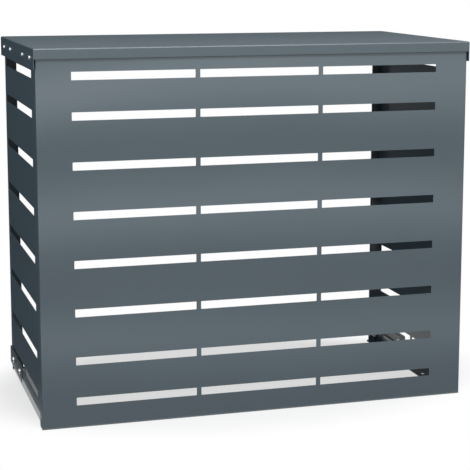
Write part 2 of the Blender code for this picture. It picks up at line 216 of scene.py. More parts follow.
@dataclass
class Shader(Graph):
    """The node tree of a material or of the world."""

    material: Material | bpy.types.World

    @classmethod
    def named(cls, name: str) -> Shader:
        """Start a material with a Principled shader.

        Args:
            name: The material's name.

        Returns:
            The shader.
        """
        material = bpy.data.materials.new(name)
        material.use_nodes = True
        return cls(material)

    @property
    def tree(self) -> bpy.types.NodeTree:
        """The material's node tree."""
        return self.material.node_tree

    @property
    def principled(self) -> Node:
        """The material's Principled shader."""
        return self.tree.nodes["Principled BSDF"]

    def place(self) -> NodeSocket:
        """The object's own coordinates, in metres."""
        return self.add("ShaderNodeTexCoord").outputs["Object"]

    def stretched(self, scale: Point) -> NodeSocket:
        """The object's own coordinates, scaled along each axis."""
        feeds = {"Scale": scale, "Vector": self.place()}
        return self.add("ShaderNodeMapping", feeds).outputs["Vector"]

    def noise(self, vector: NodeSocket, scale: float, detail: float) -> NodeSocket:
        """A noise pattern's value, from 0 to 1, at some coordinates."""
        feeds = {"Vector": vector, "Scale": scale, "Detail": detail}
        return self.add("ShaderNodeTexNoise", feeds).outputs["Fac"]

    def swell(self, length: float, start: float, bend: float) -> NodeSocket:
        """Long level waves one above another, such as thin sheet has when it is folded.

        Args:
            length: One wave's length, in metres.
            start: Where the first wave starts, in radians.
            bend: How far the waves wander from level, in radians.

        Returns:
            The value's socket, from 0 to 1.
        """
        feeds = {
            "Vector": self.place(),
            "Scale": WAVE_PERIOD / length,
            "Distortion": bend,
            "Detail": 1.0,
            "Detail Scale": 1.5,
            "Phase Offset": start,
        }
        return self.add("ShaderNodeTexWave", feeds, bands_direction="Z").outputs["Fac"]

    def ranged(self, value: NodeSocket, low: float, high: float) -> NodeSocket:
        """Spread a noise pattern's usual range over two limits.

        Args:
            value: The pattern's value.
            low: What a low value becomes.
            high: What a high value becomes.

        Returns:
            The new value's socket.
        """
        start, end = NOISE_RANGE
        feeds = {"Value": value, "From Min": start, "From Max": end, "To Min": low, "To Max": high}
        return self.add("ShaderNodeMapRange", feeds).outputs["Result"]

    def bump(
        self, height: NodeSocket, depth: float, below: NodeSocket | None = None
    ) -> NodeSocket:
        """Raise the surface by a pattern.

        Args:
            height: The pattern's value.
            depth: How far one unit of it stands, in metres.
            below: The normal of a bump that this one adds to.

        Returns:
            The normal's socket.
        """
        feeds = {"Strength": 1.0, "Distance": depth, "Height": height}
        if below is not None:
            feeds["Normal"] = below
        return self.add("ShaderNodeBump", feeds).outputs["Normal"]


@dataclass(frozen=True)
class PowderCoat:
    """Slate-grey satin powder coat on thin sheet: fine orange peel over a faint waviness."""

    name: str
    color: Point = (0.048, 0.074, 0.092)
    tone_spread: float = 0.03
    cloud_scale: float = 6.0
    cloud_detail: float = 3.0
    roughness: float = 0.38
    roughness_spread: float = 0.015
    grain_scale: float = 220.0
    grain_detail: float = 2.0
    gloss: float = 1.0
    peel_scale: float = 420.0
    peel_detail: float = 1.0
    peel_depth: float = 0.00001
    swell_length: float = 0.285
    swell_start: float = 0.7
    swell_bend: float = 1.2
    swell_depth: float = 0.0

    def material(self) -> Material:
        """Mix the coat.

        Returns:
            The coat's material.
        """
        shader = Shader.named(self.name)
        darker, lighter = (
            (*(c * (1 + spread) for c in self.color), 1)
            for spread in (-self.tone_spread, self.tone_spread)
        )
        cloud = shader.noise(shader.place(), self.cloud_scale, self.cloud_detail)
        feeds = {"A": darker, "B": lighter, "Factor": cloud}
        tone = shader.add("ShaderNodeMix", feeds, data_type="RGBA")
        grain = shader.noise(shader.place(), self.grain_scale, self.grain_detail)
        smoothest = self.roughness - self.roughness_spread
        roughest = self.roughness + self.roughness_spread
        swell = shader.swell(self.swell_length, self.swell_start, self.swell_bend)
        swollen = shader.bump(swell, self.swell_depth)
        peel = shader.noise(shader.place(), self.peel_scale, self.peel_detail)
        feeds = {
            "Base Color": tone.outputs["Result"],
            "Roughness": shader.ranged(grain, smoothest, roughest),
            "Specular IOR Level": self.gloss,
            "Normal": shader.bump(peel, self.peel_depth, swollen),
        }
        shader.feed(shader.principled, feeds)
        return shader.material


@dataclass(frozen=True)
class ZincPlate:
    """Bright zinc plate on the screws and nuts, with faint clouding."""

    name: str = "zinc_plate"
    color: Point = (0.74, 0.75, 0.76)
    smoothest: float = 0.22
    roughest: float = 0.36
    cloud_scale: float = 600.0
    cloud_detail: float = 3.0

    def material(self) -> Material:
        """Mix the plate.

        Returns:
            The plate's material.
        """
        shader = Shader.named(self.name)
        cloud = shader.noise(shader.place(), self.cloud_scale, self.cloud_detail)
        feeds = {
            "Base Color": (*self.color, 1),
            "Metallic": 1.0,
            "Roughness": shader.ranged(cloud, self.smoothest, self.roughest),
        }
        shader.feed(shader.principled, feeds)
        return shader.material


# Geometry nodes


@dataclass
class NodeTree(Graph):
    """A Geometry Nodes tree with named inputs, the kind of each beside its name."""

    name: str
    wants: dict[str, str]
    tree: bpy.types.NodeTree = field(init=False)
    source: Node = field(init=False)

    def __post_init__(self) -> None:
        """Make the tree with its output and its inputs."""
        self.tree = bpy.data.node_groups.new(self.name, "GeometryNodeTree")
        sockets = [("Geometry", "OUTPUT", "Geometry"), ("Geometry", "INPUT", "Geometry")]
        sockets += [(name, "INPUT", kind) for name, kind in self.wants.items()]
        for name, way, kind in sockets:
            self.tree.interface.new_socket(name, in_out=way, socket_type=f"NodeSocket{kind}")
        self.source = self.add("NodeGroupInput")

    def close(self, geometry: NodeSocket) -> None:
        """Realise what the tree made, paint it with the material input and put it out.

        Args:
            geometry: The geometry's socket.
        """
        real = self.add("GeometryNodeRealizeInstances", {"Geometry": geometry})
        feeds = {"Geometry": real.outputs["Geometry"], "Material": self.source.outputs["Finish"]}
        paint = self.add("GeometryNodeSetMaterial", feeds)
        self.add("NodeGroupOutput", {"Geometry": paint.outputs["Geometry"]})

    def run(self, mesh: Mesh, **values: object) -> Mesh:
        """Run the tree on a mesh.

        Args:
            mesh: The mesh that goes in.
            **values: The named inputs, with _ for a space.

        Returns:
            The plain mesh that comes out.
        """
        host = object_of(mesh.name + "_host", mesh)
        step = host.modifiers.new(self.name, "NODES")
        step.node_group = self.tree
        for item in self.tree.interface.items_tree:
            if item.in_out == "INPUT" and item.name.replace(" ", "_") in values:
                step[item.identifier] = values[item.name.replace(" ", "_")]
        return settled(host)


def punching_tree() -> NodeTree:
    """The tree that punches slots in a flat blank and rounds their corners.

    Returns:
        The tree: it removes the faces inside each slot and adds a rounded corner piece at
        each of the slots' places.
    """
    wants = {"Places": "Object", "Corners": "Object"}
    wants |= {"Slot Length": "Float", "Slot Height": "Float", "Finish": "Material"}
    made = NodeTree("punched_slots", wants)
    given = made.source.outputs
    places, corners = (
        made.add("GeometryNodeObjectInfo", {"Object": given[name]}).outputs["Geometry"]
        for name in ("Places", "Corners")
    )

    here = made.add("GeometryNodeInputPosition").outputs["Position"]
    nearest = made.add("GeometryNodeSampleNearest", {"Geometry": places}, domain="POINT")
    middle = made.add(
        "GeometryNodeSampleIndex",
        {"Geometry": places, "Value": here, "Index": nearest.outputs["Index"]},
        data_type="FLOAT_VECTOR",
        domain="POINT",
    )
    feeds = {0: here, 1: middle.outputs["Value"]}
    apart = made.add("ShaderNodeVectorMath", feeds, operation="SUBTRACT")
    split = made.add("ShaderNodeSeparateXYZ", {"Vector": apart.outputs["Vector"]})
    inside = []
    for axis, size in (("X", "Slot Length"), ("Y", "Slot Height")):
        half = made.math("MULTIPLY", given[size], 0.5)
        inside.append(made.math("LESS_THAN", made.math("ABSOLUTE", split.outputs[axis]), half))
    feeds = {"Geometry": given["Geometry"], "Selection": made.math("MULTIPLY", *inside)}
    punch = made.add("GeometryNodeDeleteGeometry", feeds, domain="FACE", mode="ALL")

    rounded = made.add("GeometryNodeInstanceOnPoints", {"Points": places, "Instance": corners})
    joined = made.add("GeometryNodeJoinGeometry", {"Geometry": punch.outputs["Geometry"]})
    made.feed(joined, {"Geometry": rounded.outputs["Instances"]})
    made.close(joined.outputs["Geometry"])
    return made


def fastening_tree() -> NodeTree:
    """The tree that sets one fastener at each point, along the point's facing.

    Returns:
        The tree: each fastener is turned about its own axis by a seeded random angle.
    """
    wants = {"Fastener": "Object", "Seed": "Int", "Finish": "Material"}
    made = NodeTree("set_fasteners", wants)
    given = made.source.outputs
    named = {"Name": "facing"}
    facing = made.add("GeometryNodeInputNamedAttribute", named, data_type="FLOAT_VECTOR")
    feeds = {"Vector": facing.outputs["Attribute"]}
    align = made.add("FunctionNodeAlignRotationToVector", feeds, axis="Z")
    feeds = {"Max": math.tau, "Seed": given["Seed"]}
    turn = made.add("FunctionNodeRandomValue", feeds, data_type="FLOAT")
    spin = made.add("FunctionNodeAxisAngleToRotation", {"Angle": turn.outputs["Value"]})
    feeds = {"Rotation": align.outputs["Rotation"], "Rotate By": spin.outputs["Rotation"]}
    both = made.add("FunctionNodeRotateRotation", feeds, rotation_space="LOCAL")
    part = made.add("GeometryNodeObjectInfo", {"Object": given["Fastener"]})
    feeds = {
        "Points": given["Geometry"],
        "Instance": part.outputs["Geometry"],
        "Rotation": both.outputs["Rotation"],
    }
    made.close(made.add("GeometryNodeInstanceOnPoints", feeds).outputs["Instances"])
    return made


# Folded sheet


@dataclass
class Fold:
    """One turned edge of a blank: how deep it goes, and the lip it may turn in again."""

    depth: float = 0.0
    lip: float = 0.0


@dataclass
class SlotGrid:
    """Rows of long slots, each row parted by narrow bridges."""

    start: float
    end: float
    columns: int
    bridge: float
    heights: Sequence[float]
    height: float = 0.018
    corner: float = 0.001
    corner_steps: int = 3

    @property
    def length(self) -> float:
        """One slot's length."""
        return (self.end - self.start - self.bridge * (self.columns - 1)) / self.columns

    def middles(self) -> list[Point]:
        """Find the slots' middles on the blank.

        Returns:
            The middles, row by row.
        """
        step = self.length + self.bridge
        across = [self.start + self.length / 2 + i * step for i in range(self.columns)]
        return [(u, v, 0.0) for v in self.heights for u in across]

    def lines(self) -> Lines:
        """Places along and up the blank where its faces end for the slots.

        Returns:
            The lines across the blank and the lines up it.
        """
        across, up = set(), set()
        for u, v, _ in self.middles():
            for half, inset in ((-1, 0.0), (-1, self.corner), (1, self.corner), (1, 0.0)):
                across.add(u + half * (self.length / 2 - inset))
                up.add(v + half * (self.height / 2 - inset))
        return sorted(across), sorted(up)

    def corner_mesh(self) -> Mesh:
        """The four fillets of one slot, about its middle.

        Returns:
            The mesh of the fillets.
        """
        shape = bmesh.new()
        for across in (-1, 1):
            for up in (-1, 1):
                u, v = across * self.length / 2, up * self.height / 2
                fillet(shape, (u, v), (-across, -up), self.corner, self.corner_steps)
        return mesh_from("slot_corners", shape)


def fillet(shape: BMesh, corner: Pair, inward: Pair, radius: float, steps: int) -> None:
    """Fill an opening's square corner so that it is round.

    Args:
        shape: The edit mesh to add to.
        corner: The square corner.
        inward: Signs of the way into the opening.
        radius: The round corner's radius.
        steps: How many faces round it.
    """
    (x, y), (across, up) = corner, inward
    arc = []
    for i in range(steps + 1):
        angle = math.pi / 2 * i / steps
        off, back = radius * (1 - math.cos(angle)), radius * (1 - math.sin(angle))
        arc.append(shape.verts.new((x + across * off, y + up * back, 0)))
    tip = shape.verts.new((x, y, 0))
    for first, second in zip(arc, arc[1:]):
        shape.faces.new((tip, first, second))


@dataclass
class Pan:
    """A sheet folded from a flat blank, with its edges turned over a small radius.

    The blank's own coordinates run across (u) and up (v) its outer face, and w goes inward.
    """

    name: str
    width: float
    height: float
    folds: dict[Edge, Fold]
    place: Callable[[float, float, float], Point]
    finish: Material
    slots: tuple[SlotGrid, ...] = ()
    notch: Rect | None = None
    notch_radius: float = 0.003
    sheet: float = 0.0015
    radius: float = 0.003
    steps: int = 8
    bead: float = 0.00025
    support: float = 0.001
    shade_angle: float = 50.0

    def fold(self, edge: Edge) -> Fold:
        """The fold at an edge, which may be none."""
        return self.folds.get(edge, Fold())

    def beside(self, edge: Edge) -> tuple[Fold, Fold]:
        """The folds at the two ends of an edge."""
        if edge in (Edge.LEFT, Edge.RIGHT):
            return self.fold(Edge.BOTTOM), self.fold(Edge.TOP)
        return self.fold(Edge.LEFT), self.fold(Edge.RIGHT)

    def arc(self) -> list[Pair]:
        """Points round the outer bend, as distance from the turned face and depth."""
        angles = [math.pi / 2 * i / self.steps for i in range(self.steps + 1)]
        return [(self.radius * (1 - math.sin(a)), self.radius * (1 - math.cos(a))) for a in angles]

    def face_lines(self) -> Lines:
        """The lines of the flat face's grid.

        Returns:
            The lines across the blank and the lines up it.
        """
        grids = [grid.lines() for grid in self.slots]
        across = [line for lines, _ in grids for line in lines]
        up = [line for _, lines in grids for line in lines]
        if self.notch:
            u0, _, u1, v1 = self.notch
            across = [*across, u0, u0 + self.notch_radius, u1 - self.notch_radius, u1]
            up = [*up, v1 - self.notch_radius, v1]
        made = []
        for lines, (low, high), size in (
            (across, self.beside(Edge.TOP), self.width),
            (up, self.beside(Edge.LEFT), self.height),
        ):
            start = self.radius if low.depth else 0.0
            end = size - (self.radius if high.depth else 0.0)
            lines = [*lines, low.lip, size - high.lip, start + self.support, end - self.support]
            made.append(sorted({start, end, *(line for line in lines if start < line < end)}))
        return made[0], made[1]

    def in_notch(self, u: float, v: float) -> bool:
        """Whether a place on the blank is cut away by the notch."""
        u0, v0, u1, v1 = self.notch or (0.0,) * 4
        return u0 < u < u1 and v0 < v < v1

    def flat_face(self, shape: BMesh) -> None:
        """Add the flat face to an edit mesh, without its notch.

        Args:
            shape: The edit mesh to add to.
        """
        across, up = self.face_lines()
        grid = [[shape.verts.new((u, v, 0)) for u in across] for v in up]
        for j, (low, high) in enumerate(zip(up, up[1:])):
            for i, (left, right) in enumerate(zip(across, across[1:])):
                if self.in_notch((left + right) / 2, (low + high) / 2):
                    continue
                shape.faces.new((grid[j][i], grid[j][i + 1], grid[j + 1][i + 1], grid[j + 1][i]))
        if self.notch:
            u0, _, u1, v1 = self.notch
            fillet(shape, (u0, v1), (1, -1), self.notch_radius, self.steps)
            fillet(shape, (u1, v1), (-1, -1), self.notch_radius, self.steps)

    def flat_end(self, edge: Edge) -> float:
        """How deep the flat of a turned edge goes, to its free end or the bend of a lip."""
        lips = [fold.lip for fold in (self.fold(edge), *self.beside(edge))]
        return self.fold(edge).depth - (self.radius if any(lips) else 0)

    def rows(self, edge: Edge) -> list[Point]:
        """The rows of a turned edge, from the bend's start to the free end.

        Args:
            edge: The turned edge.

        Returns:
            For each row its distance from the turned face, its depth, and how far its ends
            stand in from the blank's corners where a neighbour is turned too.
        """
        own = self.fold(edge)
        rows = [(off, depth, off) for off, depth in self.arc()]
        end = self.flat_end(edge)
        ends = {self.flat_end(each) for each in self.folds}
        lines = {self.radius + self.support, *ends, *(depth - self.support for depth in ends)}
        rows += [(0.0, depth, 0.0) for depth in sorted(lines) if self.radius < depth < end]
        rows.append((0.0, end, 0.0))
        for off, back in self.arc()[1:] if end < own.depth else []:
            depth = own.depth - off
            rows.append((back, depth, 0.0) if own.lip else (0.0, depth, back))
        if own.lip:
            rows.append((own.lip, own.depth, 0.0))
        return rows

    def turned_edge(self, shape: BMesh, edge: Edge) -> None:
        """Add one turned edge to an edit mesh.

        Args:
            shape: The edit mesh to add to.
            edge: The edge to turn.
        """
        across, up = self.face_lines()
        upright = edge in (Edge.LEFT, Edge.RIGHT)
        along, length, size = (up, self.height, self.width) if upright else (
            across, self.width, self.height
        )
        low, high = self.beside(edge)
        lines = []
        for off, depth, inset in self.rows(edge):
            places = list(along)
            places[0] = inset if low.depth else 0.0
            places[-1] = length - inset if high.depth else length
            out = off if edge in (Edge.LEFT, Edge.BOTTOM) else size - off
            lines.append(
                [shape.verts.new((out, a, depth) if upright else (a, out, depth)) for a in places]
            )
        for first, second in zip(lines, lines[1:]):
            for i in range(len(first) - 1):
                shape.faces.new((first[i], first[i + 1], second[i + 1], second[i]))

    def punched(self, punch: NodeTree) -> Mesh:
        """The flat face with its slots.

        Args:
            punch: The punching tree.

        Returns:
            The face's mesh, on the blank.
        """
        shape = bmesh.new()
        self.flat_face(shape)
        mesh = mesh_from(self.name, shape)
        for grid in self.slots:
            places = bpy.data.meshes.new(self.name + "_places")
            places.from_pydata(grid.middles(), [], [])
            guides = [object_of(places.name, places), object_of("corners", grid.corner_mesh())]
            mesh = punch.run(
                mesh,
                Places=guides[0],
                Corners=guides[1],
                Slot_Length=grid.length,
                Slot_Height=grid.height,
                Finish=self.finish,
            )
            discard(*guides)
        return mesh

    def build(self, punch: NodeTree) -> Object:
        """Fold the blank and give it its thickness and its soft edges.

        Args:
            punch: The punching tree.

        Returns:
            The finished piece.
        """
        shape = bmesh.new()
        blank = self.punched(punch)
        shape.from_mesh(blank)
        bpy.data.meshes.remove(blank)
        for edge in self.folds:
            self.turned_edge(shape, edge)
        bmesh.ops.remove_doubles(shape, verts=shape.verts, dist=MERGE)
        loose = [v for v in shape.verts if not v.link_faces]
        bmesh.ops.delete(shape, geom=loose, context="VERTS")
        for vertex in shape.verts:
            vertex.co = self.place(*vertex.co)
        bmesh.ops.recalc_face_normals(shape, faces=shape.faces)
        inward = Vector(self.place(0, 0, 1)) - Vector(self.place(0, 0, 0))
        flat = max(shape.faces, key=lambda f: abs(f.normal.dot(inward)) * f.calc_area())
        if flat.normal.dot(inward) > 0:
            bmesh.ops.reverse_faces(shape, faces=shape.faces)
        piece = object_of(self.name, mesh_from(self.name, shape))
        wall = piece.modifiers.new("sheet", "SOLIDIFY")
        wall.thickness = self.sheet
        wall.offset = -1
        wall.use_even_offset = True
        wall.use_quality_normals = True
        bead = piece.modifiers.new("bead", "BEVEL")
        bead.width = self.bead
        bead.segments = 2
        bead.limit_method = "ANGLE"
        bead.angle_limit = math.radians(self.shade_angle)
        mesh = settled(piece)
        # The bead can leave a lip's corner a hair under the ground.
        for vertex in mesh.vertices:
            vertex.co.z = max(vertex.co.z, 0.0)
        smooth(mesh, self.shade_angle)
        piece = object_of(self.name, mesh)
        even = piece.modifiers.new("even", "WEIGHTED_NORMAL")
        even.keep_sharp = True
        mesh = settled(piece)
        mesh.materials.clear()
        mesh.materials.append(self.finish)
        return object_of(self.name, mesh)


def shown(piece: Object, nodes: Iterable[str]) -> Object:
    """Hand a finished piece to the frame and report it.

    Args:
        piece: The piece.
        nodes: The CAD nodes that it stands for.

    Returns:
        The piece.
    """
    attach(piece, BODY)
    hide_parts(*nodes)
    LOG.info("%s: %d faces", piece.name, len(piece.data.polygons))
    return piece


# Panels


@dataclass(frozen=True)
class SlotRows:
    """Heights of the eight rows of slots that the front and the sides share."""

    bottom: float = 0.0595
    bottom_step: float = 0.0915
    top: float = 0.780
    top_step: float = 0.087
    inner: int = 6

    def heights(self) -> list[float]:
        """Find the rows' middles.

        Returns:
            Their heights, from the ground up.
        """
        low, high = self.bottom + self.bottom_step, self.top - self.top_step
        step = (high - low) / (self.inner - 1)
        return [self.bottom, *(low + step * i for i in range(self.inner)), self.top]


@dataclass
class FrontPanel:
    """The front: a shallow pan whose side returns turn in again to form a lip."""

    width: float = 1.0
    height: float = 0.8382
    face: float = -0.26475
    depth: float = 0.035
    lip: float = 0.022
    slot_margin: float = 0.077
    slot_columns: int = 3
    slot_bridge: float = 0.0105
    rows: SlotRows = SlotRows()

    def build(self, punch: NodeTree, coat: Material) -> Object:
        """Fold the front panel.

        Args:
            punch: The punching tree.
            coat: The powder coat.

        Returns:
            The finished piece.
        """
        side, end = Fold(self.depth, self.lip), Fold(self.depth)
        reach = self.slot_margin, self.width - self.slot_margin
        pan = Pan(
            "front_pan",
            self.width,
            self.height,
            {Edge.LEFT: side, Edge.RIGHT: side, Edge.BOTTOM: end, Edge.TOP: end},
            lambda u, v, w: (u - self.width / 2, self.face + w, v),
            coat,
            (SlotGrid(*reach, self.slot_columns, self.slot_bridge, self.rows.heights()),),
        )
        return shown(pan.build(punch), ["front_panel"])


@dataclass
class SidePanel:
    """A side: a tall sheet with flanges at the front, the rear and the top, and a notched foot."""

    side: Side
    face: float = 0.498
    front: float = -0.22945
    rear: float = 0.24725
    height: float = 0.8382
    flange: float = 0.028
    top_flange: float = 0.020
    notch_height: float = 0.026
    notch_start: float = -1.0
    leg: float = 0.012
    slot_front_margin: float = 0.039
    slot_rear_margin: float = 0.018
    slot_columns: int = 1
    low_slot_columns: int = 2
    slot_bridge: float = 0.011
    rows: SlotRows = SlotRows()

    def build(self, punch: NodeTree, coat: Material) -> Object:
        """Fold the side panel.

        Args:
            punch: The punching tree.
            coat: The powder coat.

        Returns:
            The finished piece.
        """
        length = self.rear - self.front
        reach = self.slot_front_margin, length - self.slot_rear_margin
        low_row, *upper_rows = self.rows.heights()
        flange = Fold(self.flange)
        pan = Pan(
            f"side_pan_{self.side.word}",
            length,
            self.height,
            {Edge.LEFT: flange, Edge.RIGHT: flange, Edge.TOP: Fold(self.top_flange)},
            lambda u, v, w: (self.side.value * (self.face - w), self.front + u, v),
            coat,
            (
                SlotGrid(*reach, self.slot_columns, self.slot_bridge, upper_rows),
                SlotGrid(*reach, self.low_slot_columns, self.slot_bridge, [low_row]),
            ),
            (self.leg, self.notch_start, length - self.leg, self.notch_height),
        )
        return shown(pan.build(punch), [f"side_panel_{self.side.word}"])


@dataclass
class Lid:
    """The lid: a flat top with closed corners and drops of three depths."""

    half_width: float = 0.504
    half_depth: float = 0.26925
    top: float = 0.840
    front_drop: float = 0.023
    rear_drop: float = 0.020
    side_drop: float = 0.0455

    def build(self, punch: NodeTree, coat: Material) -> Object:
        """Fold the lid.

        Args:
            punch: The punching tree.
            coat: The powder coat.

        Returns:
            The finished piece.
        """
        side, front, rear = Fold(self.side_drop), Fold(self.front_drop), Fold(self.rear_drop)
        pan = Pan(
            "lid_pan",
            self.half_width * 2,
            self.half_depth * 2,
            {Edge.LEFT: side, Edge.RIGHT: side, Edge.BOTTOM: front, Edge.TOP: rear},
            lambda u, v, w: (u - self.half_width, v - self.half_depth, self.top - w),
            coat,
        )
        return shown(pan.build(punch), ["lid"])


@dataclass
class RearBracket:
    """An angle round a side's rear edge: an ear along the side and a web behind it."""

    side: Side
    face: float = 0.4998
    rear: float = 0.26325
    rise: float = 0.016
    height: float = 0.041
    web: float = 0.028
    ear: float = 0.200

    def build(self, punch: NodeTree, coat: Material) -> Object:
        """Fold the bracket.

        Args:
            punch: The punching tree.
            coat: The powder coat.

        Returns:
            The finished piece.
        """
        pan = Pan(
            f"bracket_angle_{self.side.word}",
            self.web,
            self.height,
            {Edge.LEFT: Fold(self.ear)},
            lambda u, v, w: (self.side.value * (self.face - u), self.rear - w, self.rise + v),
            coat,
        )
        return shown(pan.build(punch), [f"rear_bracket_{self.side.word}"])


def coat_rails(rails: Iterable[Object], coat: Material) -> None:
    """Give the foot rails a glossier powder coat than the panels have.

    Args:
        rails: The rails' objects.
        coat: The powder coat.
    """
    for rail in rails:
        for place in rail.material_slots:
            place.material = coat
        LOG.info("%s: coated", rail.name)


# Fasteners


@dataclass
class Ring:
    """One ring of a turned shape: its radius, its height and whether it is six-sided."""

    radius: float
    height: float
    hexagonal: bool = False

    def points(self) -> list[Point]:
        """Find the ring's points.

        Returns:
            The points, the corners of a six-sided ring among them.
        """
        made = []
        for i in range(TURNED_STEPS):
            angle = math.tau * i / TURNED_STEPS
            radius = self.radius
            if self.hexagonal:
                radius *= math.cos(math.pi / 6) / math.cos(angle % (math.pi / 3) - math.pi / 6)
            made.append((radius * math.cos(angle), radius * math.sin(angle), self.height))
        return made


def lathe(rings: Sequence[Ring], closed: bool) -> Mesh:
    """Turn a shape from rings.

    Args:
        rings: The rings in order along the outline.
        closed: Whether the last ring joins the first, as in a nut; otherwise both ends are
            capped.

    Returns:
        The mesh, shaded smooth but for its sharp edges.
    """
    shape = bmesh.new()
    loops = [[shape.verts.new(p) for p in ring.points()] for ring in rings]
    for first, second in zip(loops, loops[1:] + loops[:1] if closed else loops[1:]):
        for i in range(TURNED_STEPS):
            j = (i + 1) % TURNED_STEPS
            shape.faces.new((first[i], first[j], second[j], second[i]))
    if not closed:
        shape.faces.new(reversed(loops[0]))
        shape.faces.new(loops[-1])
    bmesh.ops.recalc_face_normals(shape, faces=shape.faces)
    mesh = mesh_from("turned", shape)
    smooth(mesh, TURNED_SHADE_ANGLE)
    return mesh


@dataclass(frozen=True)
class ButtonScrew:
    """A button-head screw with a hexagon socket, along Z with its seat at zero.

    It stands `above` over its seat; the nut and the bush use that word alike.
    """

    shank: float = 0.003
    head: float = 0.00525
    above: float = 0.0033
    rim: float = 0.0008
    socket: float = 0.0023
    socket_depth: float = 0.0018
    edge: float = 0.00025
    crown_steps: int = 6
    tip_share: float = 0.3

    def mesh(self, reach: float) -> Mesh:
        """The screw's mesh.

        Args:
            reach: How far the tip goes below the seat.

        Returns:
            The mesh.
        """
        mouth = self.socket + self.edge
        last = math.acos((mouth / self.head) ** 2)
        crown = []
        for i in range(self.crown_steps + 1):
            angle = last * i / self.crown_steps
            height = self.rim + (self.above - self.rim) * math.sin(angle) / math.sin(last)
            crown.append(Ring(self.head * math.sqrt(math.cos(angle)), height))
        shank, edge, floor = self.shank, self.edge, self.above - self.socket_depth
        rings = [
            Ring(shank * self.tip_share, -reach),
            Ring(shank - edge, -reach),
            Ring(shank, -reach + edge),
            Ring(shank, 0),
            Ring(self.head - edge, 0),
            Ring(self.head, edge),
            *crown,
            Ring(self.socket, self.above - edge, True),
            Ring(self.socket, floor, True),
            Ring(self.socket * self.tip_share, floor - edge),
        ]
        return lathe(rings, closed=False)


LARGE_SCREW = ButtonScrew(
    shank=0.004,
    head=0.007,
    above=0.0046,
    rim=0.0012,
    socket=0.0029,
    socket_depth=0.0026,
    edge=0.0003,
)


@dataclass(frozen=True)
class RoundNut:
    """A plain round nut, its bearing face at zero and its body below."""

    bore: float = 0.0033
    wall: float = 0.0022
    height: float = 0.004
    above: float = 0.0
    edge: float = 0.0003

    def outline(self) -> list[Pair]:
        """Find the radius and height of each ring of the nut.

        Returns:
            The rings in order.
        """
        bore, outer, low, edge = self.bore, self.bore + self.wall, -self.height, self.edge
        return [
            (bore, -edge),
            (bore + edge, 0),
            (outer - edge, 0),
            (outer, -edge),
            (outer, low + edge),
            (outer - edge, low),
            (bore + edge, low),
            (bore, low + edge),
        ]

    def mesh(self, reach: float) -> Mesh:
        """The mesh, whose heights come from the outline and not from the reach."""
        rings = [Ring(radius, height) for radius, height in self.outline()]
        return lathe(rings, closed=True)


@dataclass(frozen=True)
class Bush(RoundNut):
    """A threaded bush riveted in a side panel, with a collar that spaces the lid's drop off."""

    collar: float = 0.0032
    neck: float = 0.0009
    above: float = 0.0042
    gap: float = 0.0003
    grip: float = 0.0018
    edge: float = 0.00025

    def outline(self) -> list[Pair]:
        """Find the radius and height of each ring of the bush.

        Returns:
            The rings in order.
        """
        collar, neck, body = (self.bore + w for w in (self.collar, self.neck, self.wall))
        bore, top, low, edge = self.bore, self.above, -self.grip - self.height, self.edge
        return [
            (bore, top - edge),
            (bore + edge, top),
            (collar - edge, top),
            (collar, top - edge),
            (collar, self.gap + edge),
            (collar - edge, self.gap),
            (neck, self.gap),
            (neck, -self.grip),
            (body, -self.grip),
            (body, low + edge),
            (body - edge, low),
            (bore + edge, low),
            (bore, low + edge),
        ]


@dataclass
class FastenerSet:
    """All the fasteners of one kind, each in the place of its CAD node."""

    name: str
    kind: ButtonScrew | RoundNut
    nodes: dict[str, Point]
    seed: int

    def seats(self) -> tuple[list[Point], float]:
        """Where the fasteners' zero planes are, from their nodes' boxes.

        Returns:
            The places and how far the fasteners go below them.
        """
        places, reach = [], 0.0
        for node, facing in self.nodes.items():
            low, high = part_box(node)
            way = Vector(facing)
            span = abs((high - low).dot(way)) / 2
            places.append(tuple((low + high) / 2 + way * (span - self.kind.above)))
            reach = 2 * span - self.kind.above
        return places, reach

    def build(self, setting: NodeTree, plate: Material) -> Object:
        """Set the fasteners in their places.

        Args:
            setting: The fastening tree.
            plate: The zinc plate.

        Returns:
            The finished piece.
        """
        places, reach = self.seats()
        points = bpy.data.meshes.new(self.name)
        points.from_pydata(places, [], [])
        facing = points.attributes.new("facing", "FLOAT_VECTOR", "POINT")
        for item, way in zip(facing.data, self.nodes.values()):
            item.vector = way
        part = object_of(self.name + "_one", self.kind.mesh(reach))
        mesh = setting.run(points, Fastener=part, Seed=self.seed, Finish=plate)
        discard(part)
        piece = object_of(self.name, mesh)
        return shown(piece, self.nodes)


def nodes_of(stem: str, ends: Iterable[str | int], way: Point | None = None) -> dict[str, Point]:
    """The nodes of one kind of fastener on both sides, and the way that each one faces.

    Args:
        stem: How the nodes' names start.
        ends: How they end, after the side's word.
        way: The way that all of them face, or nothing where they face out at their side.

    Returns:
        The way for each node.
    """
    return {
        f"{stem}_{side.word}_{end}": way or (float(side.value), 0.0, 0.0)
        for side in Side
        for end in ends
    }


